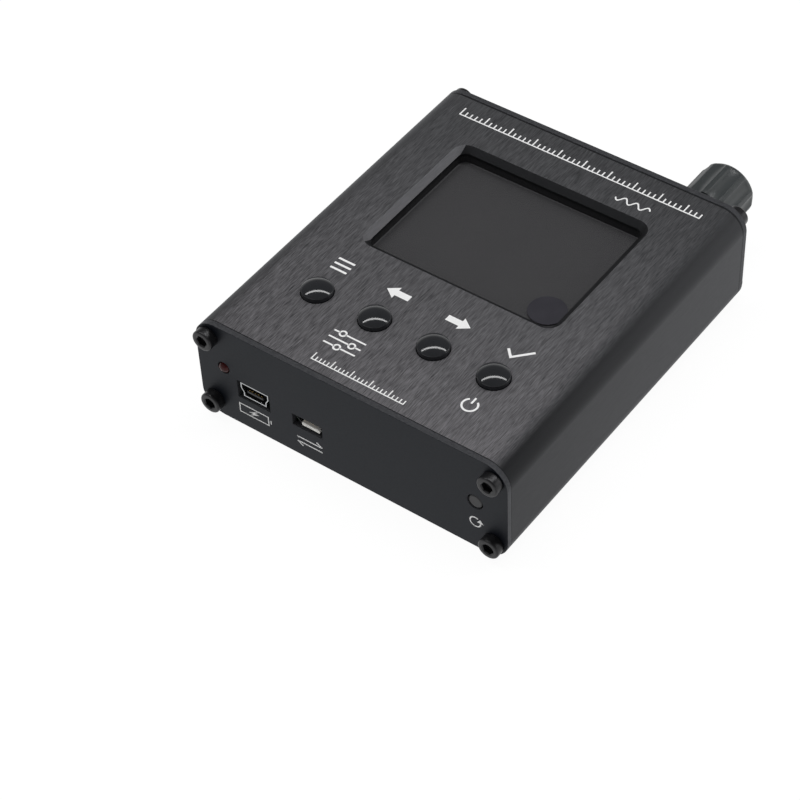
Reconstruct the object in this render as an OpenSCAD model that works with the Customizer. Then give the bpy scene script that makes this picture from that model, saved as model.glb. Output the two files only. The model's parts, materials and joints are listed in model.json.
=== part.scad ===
// Handheld vector network analyzer: an extruded case closed by two end plates, with a
// display, four keys, two charging and data sockets, and a capped RF jack at the rear.
// Millimetres. +X is to the right, +Y to the rear where the RF jack is, +Z up.

/* [Case] */
// Width of the case
case_w = 82; // [78:1:120]
// Height of the case
case_h = 27.6; // [27.2:0.2:40]
// Length from the front plate's face to the rear plate's face
case_l = 94.4; // [94:0.2:140]
// Corner radius of the case and of its end plates
corner_r = 5.8; // [5:0.1:7]
// Wall thickness of the case
wall = 2; // [1.8:0.1:2.4]
// Thickness of each end plate
plate_t = 1.4; // [1:0.1:2.4]

/* [End screws] */
// Distance from the case's side to a screw's axis
screw_inset = 3.6; // [3.4:0.1:5]
// Distance from the case's top or bottom to a screw's axis
screw_drop = 4.1; // [3.6:0.1:5]
// Diameter of the screw's thread
screw_d = 2.9; // [2:0.1:3.2]
// Length of the screw under its head
screw_l = 8; // [5:0.5:16]
// Diameter of the screw's head
head_d = 5.2; // [4:0.1:6]
// Height of the screw's head
head_h = 2.3; // [1.5:0.1:3.2]
// Width across the flats of the screw's socket
socket_af = 2.5; // [1.5:0.1:3]
// Depth of the screw's socket
socket_depth = 1.3; // [0.8:0.1:1.8]
// Radius of the screw channels' outer wall
channel_wall_r = 2.8; // [2.6:0.1:3.2]

/* [Display window] */
// Width of the window's straight opening
window_w = 49; // [44:0.5:52]
// Length of the window's straight opening
window_l = 37; // [30:0.5:38]
// Distance from the front plate's face to the window's centre
window_at = 59; // [58:0.5:64]
// Corner radius of the window's straight opening
window_r = 2; // [1:0.1:4]
// Width of the bevel around the window
bevel_w = 1.6; // [0.5:0.1:2.5]
// Depth of the bevel around the window
bevel_d = 1.3; // [0.5:0.1:1.6]
// Depth of the display's glass below the case's top
glass_drop = 4; // [3:0.1:5]

/* [Display] */
// Width of the display's glass beside the window, on the left
lcd_left_margin = 3.2; // [2:0.1:4]
// Width of the display's glass beside the window, on its driver's side
lcd_driver_margin = 8.1; // [5:0.1:8.5]
// Length of the display's glass beyond the window, front and rear
lcd_end_margin = 2.9; // [1.5:0.1:3]
// Thickness of the display's glass
lcd_glass_t = 1.1; // [0.7:0.1:1.3]
// Thickness of the display's backlight
lcd_backlight_t = 1.1; // [0.8:0.1:1.4]
// Thickness of the adhesive under the display
lcd_tape_t = 0.2; // [0.1:0.05:0.4]
// Thickness of the protective film on the glass
film_t = 0.12; // [0.1:0.02:0.3]
// Radius of the film's round pull tab
tab_r = 4.4; // [3:0.1:6]
// Thickness of the film's pull tab
tab_t = 0.3; // [0.2:0.05:0.6]

/* [Keys] */
// Distance between two keys
key_pitch = 15.5; // [12:0.5:16]
// Distance from the front plate's face to the keys' axes
key_at = 20.9; // [19:0.1:24]
// Diameter of a key cap
key_d = 7.3; // [6:0.1:9]
// Height of a key cap's straight side above the case
key_side_h = 0.7; // [0.3:0.1:1.2]
// Height of a key cap's dome above its straight side
key_dome_h = 1.6; // [0.8:0.1:2.4]
// Travel of a key
key_travel = 0.3; // [0.2:0.05:0.5]
// Gap around a key cap
key_clear = 0.15; // [0.1:0.01:0.3]
// Diameter of a key switch's stem
stem_d = 3.3; // [2.5:0.1:3.6]

/* [Circuit boards] */
// Thickness of both circuit boards
board_t = 1.6; // [1:0.1:2]
// Height of the main board's underside
board_z = 7.5; // [7.2:0.1:8]
// Gap between the main board's sides and the case
board_side_gap = 0.3; // [0.1:0.05:0.6]
// Gap between the display board and each side of the case
display_board_inset = 6; // [5.5:0.1:6.5]
// Distance from the front plate's face to the display board's front edge
display_board_at = 12; // [11:0.5:13]
// Length of the display board
display_board_l = 74.5; // [74:0.5:78]
// Width of a spacer across its flats
spacer_af = 5; // [4.5:0.1:5.5]

/* [Front sockets] */
// Distance from the case's left side to the charging socket's centre
mini_inset = 15; // [14:0.1:18]
// Distance from the case's left side to the data socket's centre
micro_inset = 29.65; // [28:0.1:34]
// Distance from the case's left side to the indicator lamp's axis
led_inset = 7.1; // [7:0.1:8]
// Height of the indicator lamp's axis
led_z = 15.6; // [13:0.1:17]
// Diameter of the indicator lamp
led_d = 3; // [2:0.1:4]
// Distance from the case's right side to the reset button's axis
reset_inset = 8.2; // [8:0.1:12]
// Height of the reset button's axis
reset_z = 14.1; // [13:0.1:15]
// Diameter of the reset button
reset_d = 3.6; // [2.5:0.1:4]
// Gap around the reset button
reset_clear = 0.2; // [0.1:0.05:0.4]
// Travel of the reset button
reset_travel = 0.3; // [0.2:0.05:0.5]

/* [RF jack] */
// Distance from the case's right side to the RF jack's axis
jack_inset = 15.5; // [15:0.1:20]
// Diameter of the jack's mating thread
jack_thread_d = 11.1; // [10:0.1:11.4]
// Diameter of the jack's neck through the rear plate
jack_neck_d = 12.7; // [12:0.1:13.5]
// Length of the jack's neck beyond the rear plate
jack_neck_l = 4.7; // [4.4:0.1:6]
// Distance from the rear plate's face to the jack's open end
jack_reach = 17.1; // [15:0.1:20]
// Width across the flats of the jack's nut
nut_af = 15.9; // [15:0.1:17]
// Thickness of the jack's nut
nut_t = 2.8; // [2:0.1:3]
// Thickness of the lock washer under the nut
washer_t = 0.8; // [0.5:0.1:1]

/* [Dust cap] */
// Diameter of the dust cap
cap_d = 14.1; // [13.6:0.1:17]
// Length of the dust cap
cap_l = 12.1; // [11:0.1:14]
// Thickness of the dust cap's end
cap_end_t = 1.4; // [1:0.1:2.5]
// Radius of the jack's thread gap inside the cap
cap_clear = 0.08; // [0.02:0.01:0.1]
// Thickness of the sealing disc inside the cap
liner_t = 0.6; // [0.4:0.1:1]
// Gap between the sealing disc and the jack's end
liner_gap = 0.1; // [0.05:0.05:0.3]
// Number of flutes around the cap
flute_count = 10; // [6:1:16]
// Depth of a flute
flute_depth = 0.55; // [0.2:0.05:0.8]

/* [Battery] */
// Width of the battery
battery_w = 38; // [20:1:38]
// Length of the battery
battery_l = 50; // [30:1:52]
// Thickness of the battery
battery_t = 5.6; // [3:0.1:6.8]
// Distance from the front plate's face to the battery's front end
battery_at = 24; // [22:0.5:26]
// Thickness of the pad under the battery
battery_pad_t = 0.4; // [0.2:0.1:1]

/* [Hidden] */
$fn = 64;
eps = 0.01;
key_count = 4;

// Places along Y: the whole outline is centred, from the front heads to the cap's end
cap_gap = jack_reach + liner_gap + liner_t + cap_end_t - cap_l;
cap_reach = cap_gap + cap_l;
front_y = (head_h - case_l - cap_reach) / 2;
rear_y = front_y + case_l;
tube_y = front_y + plate_t;
tube_l = case_l - 2 * plate_t;
window_y = front_y + window_at;
key_y = front_y + key_at;

// Places along X and Z
half_w = case_w / 2;
inner_half_w = half_w - wall;
screw_x = half_w - screw_inset;
screw_zs = [screw_drop, case_h - screw_drop];
board_top = board_z + board_t;
mini_x = mini_inset - half_w;
micro_x = micro_inset - half_w;
led_x = led_inset - half_w;
reset_x = half_w - reset_inset;
jack_x = half_w - jack_inset;
jack_z = case_h / 2;
key_xs = [for (i = [0 : key_count - 1]) (i - (key_count - 1) / 2) * key_pitch];

// Display stack, measured down from the case's top
glass_z = case_h - glass_drop;
lcd_z = glass_z - lcd_glass_t - lcd_backlight_t;
display_top = lcd_z - lcd_tape_t;
display_z = display_top - board_t;
lcd_w = window_w + lcd_left_margin + lcd_driver_margin;
lcd_l = window_l + 2 * lcd_end_margin;
lcd_x = (lcd_driver_margin - lcd_left_margin) / 2;
gasket_rim = 2.4;
gasket_clear = 0.2;
film_inset = 0.3;
tab_inset = [5.2, 6.4];

// Boards, rails, spacers and the link between the boards
rail_t = 0.9;
rail_w = 1.4;
rail_clear = 0.1;
board_end_gap = 0.6;
jack_room = 3.5;
main_board_y = tube_y + board_end_gap;
main_board_l = tube_l - board_end_gap - jack_room;
main_board_w = 2 * (inner_half_w - board_side_gap);
display_board_y = front_y + display_board_at;
display_board_w = case_w - 2 * display_board_inset;
spacer_edge = 3.5;
spacer_h = display_z - board_top;
spacer_xs = [-display_board_w / 2 + spacer_edge, display_board_w / 2 - spacer_edge];
spacer_ys = [display_board_y + spacer_edge, display_board_y + display_board_l - spacer_edge + 0.3];
board_screw_d = 2.5;
board_screw_clear = 0.15;
board_head_d = 4.5;
board_head_h = 1.6;
board_screw_l = board_t + 3;
link_pins_n = 10;
link_pitch = 2.54;
link_x = -display_board_w / 2 + 3.2;
link_y = window_y - 7;
link_w = 2.5;
link_base_h = 2.5;
pin_w = 0.64;
pin_clear = 0.12;
pin_proud = 1;

// Key switches
switch_w = 6;
switch_h = 3.5;
cover_t = 0.25;
stem_clear = 0.08;
stem_reach = 1.1;
key_base_z = display_top + switch_h + cover_t + key_travel + 0.2;
disc_t = 0.18;
switch_floor = 0.5;
stem_z = display_top + switch_floor + disc_t + key_travel + 0.05;

// USB sockets: width, height, width of the narrow side, depth
mini_size = [7.7, 3.9, 6.3, 9.2];
micro_size = [7.5, 2.8, 5.6, 5.6];
usb_t = 0.3;
mini_lift = 0.2;
mini_recess = 0.35;
micro_recess = 0.9;
mini_z = board_top + mini_lift + mini_size[1] / 2;
micro_z = board_top + micro_size[1] / 2;
usb_cut_clear = 0.6;
micro_cut_clear = 0.3;

// Indicator lamp and reset switch
led_clear = 0.1;
led_proud = 0.7;
led_body_l = 5.2;
led_flange_d = led_d + 0.8;
led_flange_t = 1;
lead_w = 0.5;
reset_recess = 0.1;
reset_body_at = 4.2;
reset_body = [6, 4.4, 7.2];
reset_bore_depth = 2;

// RF jack, measured from the rear plate's faces
jack_flange_d = 15.6;
jack_flange_t = 2;
jack_body_d = 8.4;
jack_body_l = 4;
ferrule_d = 4.4;
ferrule_l = 3.5;
jack_bore_d = 8.3;
jack_bore_floor = 5.2;
insulator_d = 4.8;
insulator_recess = 0.6;
contact_d = 2.2;
contact_recess = 0.5;
contact_bore_d = 1.4;
neck_clear = 0.1;
washer_od = 17.2;
coax_d = 1.8;

/* Shapes shared by several parts */

// A flat rectangle with round corners, centred
module round_rect(w, l, r) {
    square([w - 2 * r, l], center = true);
    square([w, l - 2 * r], center = true);
    for (x = [-1, 1], y = [-1, 1])
        translate([x * (w / 2 - r), y * (l / 2 - r)])
            circle(r);
}

// Extrudes an outline drawn in X and Z along +Y from y
module along_y(y, length) {
    translate([0, y + length, 0])
        rotate([90, 0, 0])
            linear_extrude(length)
                children();
}

// A round bar along +Y
module rod_y(x, y, z, d, length) {
    translate([x, y, z])
        rotate([-90, 0, 0])
            cylinder(d = d, h = length);
}

// A hexagonal bar along +Y, by its width across the flats
module hex_y(x, y, z, af, length) {
    translate([x, y, z])
        rotate([-90, 0, 0])
            cylinder(d = af / cos(30), h = length, $fn = 6);
}

// The case's outline, seen from the front
module case_outline() {
    translate([0, case_h / 2])
        round_rect(case_w, case_h, corner_r);
}

// One copy of the children at each end screw's axis
module at_end_screws(y) {
    for (x = [-screw_x, screw_x], z = screw_zs)
        translate([x, y, z])
            children();
}

// One copy at each spacer's axis
module at_spacers(z) {
    for (x = spacer_xs, y = spacer_ys)
        translate([x, y, z])
            children();
}

// One copy at each key's axis
module at_keys(z) {
    for (x = key_xs)
        translate([x, key_y, z])
            children();
}

// Outline of a USB socket, wide side up, drawn in by t
function usb_outline(size, t) =
    let (w = size[0] / 2 - t, h = size[1] / 2 - t, n = size[2] / 2 - t, s = size[1] * 0.1)
    [[-w, h], [w, h], [w, s], [n, s - size[1] * 0.3], [n, -h], [-n, -h],
     [-n, s - size[1] * 0.3], [-w, s]];

// A smooth curve through the points of a route
function curve_point(p, i, t) =
    let (a = p[max(i - 1, 0)], b = p[i], c = p[i + 1], d = p[min(i + 2, len(p) - 1)])
    (2 * b + (c - a) * t + (2 * a - 5 * b + 4 * c - d) * t * t
     + (3 * b - a - 3 * c + d) * t * t * t) / 2;
function curve(p, n) =
    [for (i = [0 : len(p) - 2], k = [0 : n - 1]) curve_point(p, i, k / n), p[len(p) - 1]];
function unit(v) = v / norm(v);

// A wire of diameter d along a route, with rings turned about the side direction
module wire(route, d, side) {
    ring = 8;
    path = curve(route, 5);
    last = len(path) - 1;
    stop = len(route) - 1;
    points = [
        for (i = [0 : last])
            let (t = i == 0 ? unit(route[1] - route[0])
                    : i == last ? unit(route[stop] - route[stop - 1])
                    : unit(path[i + 1] - path[i - 1]),
                 u = unit(cross(t, side)), v = cross(u, t))
            for (k = [0 : ring - 1])
                path[i] + d / 2 * (cos(360 * k / ring) * u + sin(360 * k / ring) * v)
    ];
    walls = [
        for (i = [0 : last - 1], k = [0 : ring - 1])
            let (n = (k + 1) % ring)
            [i * ring + n, (i + 1) * ring + n, (i + 1) * ring + k, i * ring + k]
    ];
    ends = [
        [for (k = [ring - 1 : -1 : 0]) k],
        [for (k = [0 : ring - 1]) last * ring + k]
    ];
    polyhedron(points = points, faces = concat(walls, ends));
}

/* Case and fasteners */

// The window's cut: a straight opening with a bevel that widens towards the top
module window_cut() {
    across = window_w - 2 * window_r;
    down = window_l - 2 * window_r;
    bevel_z = case_h - bevel_d;
    grow = bevel_w * (bevel_d + eps) / bevel_d;
    translate([0, window_y, case_h - wall - eps])
        linear_extrude(wall)
            round_rect(window_w, window_l, window_r);
    translate([0, window_y - down / 2, bevel_z])
        along_y(0, down)
            polygon([
                [-window_w / 2, 0], [window_w / 2, 0],
                [window_w / 2 + grow, bevel_d + eps], [-window_w / 2 - grow, bevel_d + eps]
            ]);
    translate([-across / 2, window_y, bevel_z])
        rotate([90, 0, 90])
            linear_extrude(across)
                polygon([
                    [-window_l / 2, 0], [window_l / 2, 0],
                    [window_l / 2 + grow, bevel_d + eps], [-window_l / 2 - grow, bevel_d + eps]
                ]);
    for (x = [-across / 2, across / 2], y = [-down / 2, down / 2])
        translate([x, window_y + y, bevel_z])
            cylinder(h = bevel_d + eps, r1 = window_r, r2 = window_r + grow);
}

// One wall's pair of rails that hold the main board's side
module rail_pair(side) {
    for (z = [board_z - rail_t, board_top + rail_clear])
        translate([side * (inner_half_w - rail_w / 2 + eps), z + rail_t / 2])
            square([rail_w + 2 * eps, rail_t], center = true);
}

module case_profile() {
    difference() {
        union() {
            difference() {
                case_outline();
                translate([0, case_h / 2])
                    round_rect(case_w - 2 * wall, case_h - 2 * wall, corner_r - wall);
            }
            for (x = [-screw_x, screw_x], z = screw_zs)
                translate([x, z])
                    circle(channel_wall_r);
            rail_pair(-1);
            rail_pair(1);
        }
        for (x = [-screw_x, screw_x], z = screw_zs)
            translate([x, z])
                circle(d = screw_d + 0.1);
    }
}

module case_tube() {
    color("#3c3c3f")
        difference() {
            along_y(tube_y, tube_l)
                case_profile();
            window_cut();
            at_keys(case_h - wall - eps)
                cylinder(d = key_d + 2 * key_clear, h = wall + 2 * eps);
        }
}

// An end plate with its screw holes, its front face at y
module end_plate(y) {
    difference() {
        along_y(y, plate_t)
            case_outline();
        at_end_screws(y - eps)
            rod_y(0, 0, 0, screw_d + 0.3, plate_t + 2 * eps);
        children();
    }
}

module front_plate() {
    depth = plate_t + 2 * eps;
    y = front_y - eps;
    color("#2f3134")
        end_plate(front_y) {
            rod_y(led_x, y, led_z, led_d + 2 * led_clear, depth);
            rod_y(reset_x, y, reset_z, reset_d + 2 * reset_clear, depth);
            translate([mini_x, y + depth / 2, mini_z])
                cube([mini_size[0] + 2 * usb_cut_clear, depth, mini_size[1] + 2 * usb_cut_clear],
                     center = true);
            translate([micro_x, y + depth / 2, micro_z])
                cube([micro_size[0] + 2 * micro_cut_clear, depth,
                      micro_size[1] + 2 * micro_cut_clear], center = true);
        }
}

module rear_plate() {
    color("#2f3134")
        end_plate(rear_y - plate_t)
            rod_y(jack_x, rear_y - plate_t - eps, jack_z, jack_neck_d + 2 * neck_clear,
                  plate_t + 2 * eps);
}

// A socket-head screw whose head sits on y = 0 and whose shank points along +Y
module end_screw() {
    difference() {
        union() {
            rod_y(0, -head_h, 0, head_d, head_h);
            rod_y(0, -eps, 0, screw_d, screw_l + eps);
        }
        hex_y(0, -head_h - eps, 0, socket_af, socket_depth + eps);
    }
}

module front_screws() {
    color("#1c1c1e")
        at_end_screws(front_y)
            end_screw();
}

module rear_screws() {
    color("#1c1c1e")
        at_end_screws(rear_y)
            rotate([0, 0, 180])
                end_screw();
}

/* Display */

module window_gasket() {
    t = case_h - wall - glass_z;
    color("#101114")
        translate([0, window_y, glass_z])
            linear_extrude(t)
                difference() {
                    round_rect(window_w + 2 * gasket_rim, window_l + 2 * gasket_rim,
                               window_r);
                    round_rect(window_w + 2 * gasket_clear, window_l + 2 * gasket_clear,
                               window_r + gasket_clear);
                }
}

module screen_film() {
    w = window_w - 2 * film_inset;
    l = window_l - 2 * film_inset;
    color("#4a4358")
        translate([0, window_y, glass_z]) {
            linear_extrude(film_t)
                round_rect(w, l, window_r);
            translate([window_w / 2 - tab_inset[0], tab_inset[1] - window_l / 2, film_t - eps])
                cylinder(r = tab_r, h = tab_t + eps);
        }
}

// A flat layer of the display with its underside at z
module lcd_layer(z, t, inset) {
    translate([lcd_x, window_y, z + t / 2])
        cube([lcd_w - 2 * inset, lcd_l - 2 * inset, t], center = true);
}

module lcd_glass() {
    color("#3e3e3f")
        lcd_layer(glass_z - lcd_glass_t, lcd_glass_t, 0);
}

module lcd_backlight() {
    color("white")
        lcd_layer(lcd_z, lcd_backlight_t, 0);
}

module lcd_tape() {
    color("#d8d2b8")
        lcd_layer(display_top, lcd_tape_t, 2);
}

// The ribbon leaves the backlight's edge and bends down onto the display board
module lcd_ribbon() {
    ribbon_w = 22;
    ribbon_t = 0.2;
    exit_z = lcd_z + 0.4;
    bend_r = exit_z - display_top - ribbon_t;
    x = lcd_x + lcd_w / 2;
    color("#c07a2c")
        along_y(window_y - ribbon_w / 2, ribbon_w) {
            translate([x, exit_z])
                square([0.4, ribbon_t]);
            translate([x + 0.4, exit_z - bend_r])
                intersection() {
                    difference() {
                        circle(bend_r + ribbon_t);
                        circle(bend_r);
                    }
                    square(bend_r + ribbon_t);
                }
            translate([x + 0.4 + bend_r, display_top])
                square([ribbon_t, exit_z - bend_r - display_top + eps]);
            translate([x + 0.4 + bend_r, display_top])
                square([0.9, ribbon_t]);
        }
}

/* Keys */

module key_cap(i) {
    top_z = case_h + key_side_h;
    dome_r = (pow(key_d / 2, 2) + pow(key_dome_h, 2)) / (2 * key_dome_h);
    stem_top = case_h + stem_reach;
    color("#141518")
        translate([key_xs[i], key_y, 0])
            difference() {
                intersection() {
                    translate([0, 0, key_base_z])
                        cylinder(d = key_d, h = top_z + key_dome_h - key_base_z);
                    translate([0, 0, top_z + key_dome_h - dome_r])
                        union() {
                            sphere(dome_r);
                            translate([0, 0, -dome_r])
                                cylinder(r = dome_r, h = dome_r);
                        }
                }
                translate([0, 0, key_base_z - eps])
                    cylinder(d = stem_d, h = stem_top - key_base_z + eps);
            }
}

module key_plunger(i) {
    color("#4a4a4a")
        translate([key_xs[i], key_y, stem_z])
            cylinder(d = stem_d, h = case_h + stem_reach - stem_z);
}

module key_cap_1() key_cap(0);
module key_cap_2() key_cap(1);
module key_cap_3() key_cap(2);
module key_cap_4() key_cap(3);
module key_plunger_1() key_plunger(0);
module key_plunger_2() key_plunger(1);
module key_plunger_3() key_plunger(2);
module key_plunger_4() key_plunger(3);

module key_switch_housings() {
    color("#1b1b1d")
        at_keys(display_top)
            difference() {
                translate([0, 0, switch_h / 2])
                    cube([switch_w, switch_w, switch_h], center = true);
                translate([0, 0, switch_floor])
                    cylinder(d = stem_d + 2 * stem_clear, h = switch_h);
            }
}

module key_switch_covers() {
    color("#c4c6c8")
        at_keys(display_top + switch_h)
            difference() {
                translate([0, 0, cover_t / 2])
                    cube([switch_w, switch_w, cover_t], center = true);
                translate([0, 0, -eps])
                    cylinder(d = stem_d + 2 * stem_clear, h = cover_t + 2 * eps);
            }
}

module key_snap_discs() {
    color("#d8c27a")
        at_keys(display_top + switch_floor)
            cylinder(d1 = stem_d, d2 = stem_d / 2, h = disc_t);
}

/* Circuit boards */

module board_screw_holes(z) {
    at_spacers(z - eps)
        cylinder(d = board_screw_d + 2 * board_screw_clear, h = board_t + 2 * eps);
}

// One copy at each pin of the link between the boards
module at_link_pins(z) {
    for (i = [0 : link_pins_n - 1])
        translate([link_x, link_y + (i - (link_pins_n - 1) / 2) * link_pitch, z])
            children();
}

module display_board() {
    color("#1f5136")
        difference() {
            translate([-display_board_w / 2, display_board_y, display_z])
                cube([display_board_w, display_board_l, board_t]);
            board_screw_holes(display_z);
            at_link_pins(display_z - eps)
                cylinder(d = pin_w * sqrt(2) + 2 * pin_clear, h = board_t + 2 * eps, $fn = 24);
        }
}

module main_board() {
    color("#1f5136")
        difference() {
            translate([-main_board_w / 2, main_board_y, board_z])
                cube([main_board_w, main_board_l, board_t]);
            board_screw_holes(board_z);
        }
}

module board_spacers() {
    color("#c9a54e")
        at_spacers(board_top)
            difference() {
                cylinder(d = spacer_af / cos(30), h = spacer_h, $fn = 6);
                translate([0, 0, -eps])
                    cylinder(d = board_screw_d + 0.1, h = spacer_h + 2 * eps);
            }
}

// A pan-head screw with its head above z = 0 and its shank below
module board_screw() {
    difference() {
        union() {
            cylinder(d = board_head_d, h = board_head_h);
            translate([0, 0, -board_screw_l])
                cylinder(d = board_screw_d, h = board_screw_l + eps);
        }
        for (a = [0, 90])
            rotate([0, 0, a])
                translate([0, 0, board_head_h])
                    cube([board_head_d * 0.6, 0.5, 1.4], center = true);
    }
}

module upper_board_screws() {
    color("#b9bcc0")
        at_spacers(display_top)
            board_screw();
}

module lower_board_screws() {
    color("#b9bcc0")
        at_spacers(board_z)
            rotate([180, 0, 0])
                board_screw();
}

// A block around the link's pins with a square hole for each
module link_block(z, h) {
    difference() {
        translate([link_x, link_y, z + h / 2])
            cube([link_w, link_pins_n * link_pitch, h], center = true);
        at_link_pins(z + h / 2)
            cube([pin_w, pin_w, h + 2 * eps], center = true);
    }
}

module link_socket() {
    color("#18181a")
        link_block(board_top, spacer_h - link_base_h);
}

module link_header() {
    color("#18181a")
        link_block(display_z - link_base_h, link_base_h);
}

module link_pins() {
    low = board_top + 2.5;
    high = display_top + pin_proud;
    color("#d9b45a")
        at_link_pins((low + high) / 2)
            cube([pin_w, pin_w, high - low], center = true);
}

// A flat chip standing on z, or hanging from it when h is negative
module chip(x, at, z, size) {
    translate([x, front_y + at, z + size[2] / 2])
        cube([size[0], size[1], abs(size[2])], center = true);
}

module processor_chip() {
    color("#202124")
        chip(-3, 30, display_z, [14, 14, -1.4]);
}

can_size = [19, 32, 3.2];
can_at = 44;
can_t = 0.3;
can_x = jack_x;

module rf_shield_can() {
    color("#c3c5c8")
        difference() {
            chip(can_x, can_at, board_top, can_size);
            translate([0, 0, -eps])
                chip(can_x, can_at, board_top,
                     [can_size[0] - 2 * can_t, can_size[1] - 2 * can_t, can_size[2] - can_t]);
        }
}

module rf_chips() {
    color("#26272a") {
        chip(can_x, can_at - 9, board_top, [7, 7, 1]);
        chip(can_x, can_at, board_top, [5, 5, 0.9]);
        chip(can_x, can_at + 9, board_top, [4, 6, 1.1]);
    }
}

module power_chips() {
    color("#26272a") {
        chip(mini_x + 1, 13.6, board_top, [5, 4, 1.5]);
        chip(mini_x + 9, 13.6, board_top, [3, 3, 1.1]);
        chip(micro_x + 2, 12.2, board_top, [6, 5, 1.5]);
    }
}

module power_coil() {
    color("#3a3a3d")
        chip(micro_x + 10, 12.5, board_top, [6, 6, 3]);
}

module clock_crystal() {
    color("#cfd1d3")
        translate([jack_x - 6, front_y + 16, board_top])
            linear_extrude(3.4)
                round_rect(10.6, 4.4, 2.1);
}

/* Battery */

battery_x = can_x - can_size[0] / 2 - 2 - battery_w / 2;
battery_y = front_y + battery_at;
guard_l = 4;
plug_size = [6, 4.5, 3.6];
plug_x = battery_x + 4;
plug_y = battery_y + battery_l + guard_l + 5;
socket_l = 3.4;

module battery_cell() {
    z = board_top + battery_pad_t + battery_t / 2;
    color("#c8cacc")
        along_y(battery_y, battery_l)
            translate([battery_x, z])
                round_rect(battery_w, battery_t, battery_t * 0.3);
}

module battery_guard_board() {
    z = board_top + battery_pad_t;
    color("#d9a520")
        translate([battery_x - battery_w / 2 + 1.5, battery_y + battery_l, z + 0.6])
            cube([battery_w - 3, guard_l, battery_t - 1.4]);
}

module battery_pad() {
    color("#30302f")
        translate([battery_x - battery_w / 2 + 2, battery_y + 1, board_top])
            cube([battery_w - 4, battery_l - 2, battery_pad_t]);
}

module battery_plug() {
    color("#ece9df")
        translate([plug_x - plug_size[0] / 2, plug_y, board_top])
            cube(plug_size);
}

module battery_socket() {
    color("#ece9df")
        translate([plug_x - plug_size[0] / 2 - 0.6, plug_y + plug_size[1], board_top])
            cube([plug_size[0] + 1.2, socket_l, plug_size[2] + 0.6]);
}

// Two leads from the guard board to the plug, each held at both ends
module battery_leads() {
    from_y = battery_y + battery_l + guard_l;
    from_z = board_top + battery_pad_t + battery_t / 2;
    to_z = board_top + plug_size[2] / 2;
    mid_y = (from_y + plug_y) / 2;
    for (i = [0, 1])
        color(i == 0 ? "#b3231f" : "#1a1a1a")
            wire([
                [plug_x + (i - 0.5) * 8, from_y, from_z],
                [plug_x + (i - 0.5) * 8, from_y + 0.8, from_z],
                [plug_x + (i - 0.5) * 5, mid_y, (from_z + to_z) / 2],
                [plug_x + (i - 0.5) * 2.5, plug_y - 0.8, to_z],
                [plug_x + (i - 0.5) * 2.5, plug_y, to_z]
            ], 1.3, [0, 0, 1]);
}

/* Front sockets, lamp and reset switch */

// A socket's open metal shell with its mouth at y
module usb_shell(x, y, z, size) {
    difference() {
        along_y(y, size[3])
            translate([x, z])
                polygon(usb_outline(size, 0));
        along_y(y - eps, size[3] - usb_t + eps)
            translate([x, z])
                polygon(usb_outline(size, usb_t));
    }
}

mini_y = front_y + mini_recess;
micro_y = front_y + micro_recess;
mini_tongue = [5, 4.6, 1];
micro_tongue = [4.9, 3.4, 0.7];
tongue_recess = 0.2;

// A socket's insulating tongue on its base block, with grooves for the contacts
module usb_tongue(x, y, z, size, tongue) {
    inner = size[3] - usb_t;
    base_l = inner - tongue[1] - tongue_recess;
    difference() {
        union() {
            along_y(y + inner - base_l, base_l)
                translate([x, z])
                    polygon(usb_outline(size, usb_t));
            translate([x - tongue[0] / 2, y + tongue_recess, z])
                cube([tongue[0], tongue[1] + eps, tongue[2]]);
        }
        usb_contacts(x, y - eps, z, size, tongue);
    }
}

// Five contact strips in the underside of a tongue
module usb_contacts(x, y, z, size, tongue) {
    pitch = tongue[0] / 6;
    for (i = [-2 : 2])
        translate([x + i * pitch - pitch / 4, y + tongue_recess + 0.2, z - eps])
            cube([pitch / 2, tongue[1] + 0.8, 0.25 + eps]);
}

module mini_usb_shell() {
    color("#b8bbc0")
        usb_shell(mini_x, mini_y, mini_z, mini_size);
}

module mini_usb_tongue() {
    color("#17181a")
        usb_tongue(mini_x, mini_y, mini_z, mini_size, mini_tongue);
}

module mini_usb_contacts() {
    color("#d6b25c")
        usb_contacts(mini_x, mini_y, mini_z, mini_size, mini_tongue);
}

module micro_usb_shell() {
    color("#b8bbc0")
        usb_shell(micro_x, micro_y, micro_z, micro_size);
}

module micro_usb_tongue() {
    color("#e8e6e0")
        usb_tongue(micro_x, micro_y, micro_z, micro_size, micro_tongue);
}

module micro_usb_contacts() {
    color("#d6b25c")
        usb_contacts(micro_x, micro_y, micro_z, micro_size, micro_tongue);
}

module status_led() {
    tip = front_y - led_proud;
    color("#4a1418") {
        translate([led_x, tip + led_d / 2, led_z])
            sphere(d = led_d);
        rod_y(led_x, tip + led_d / 2, led_z, led_d, led_body_l - led_d / 2);
        rod_y(led_x, tip + led_body_l - led_flange_t, led_z, led_flange_d, led_flange_t);
    }
}

module led_leads() {
    y = front_y - led_proud + led_body_l;
    reach = 2;
    color("#c9cbce")
        for (side = [-1, 1])
            translate([led_x + side * 1.27 - lead_w / 2, y, 0]) {
                translate([0, 0, led_z - lead_w / 2])
                    cube([lead_w, reach, lead_w]);
                translate([0, reach - eps, board_top])
                    cube([lead_w, lead_w, led_z + lead_w / 2 - board_top]);
            }
}

reset_y = front_y + reset_body_at;

module reset_plunger() {
    l = reset_body_at - reset_recess + reset_bore_depth - reset_travel - 0.2;
    color("#18191b")
        rod_y(reset_x, front_y + reset_recess, reset_z, reset_d, l);
}

module reset_switch_body() {
    color("#232427")
        difference() {
            translate([reset_x - reset_body[0] / 2, reset_y, board_top])
                cube(reset_body);
            rod_y(reset_x, reset_y - eps, reset_z, reset_d + 2 * stem_clear,
                  reset_bore_depth + eps);
        }
}

/* RF jack and dust cap */

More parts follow.
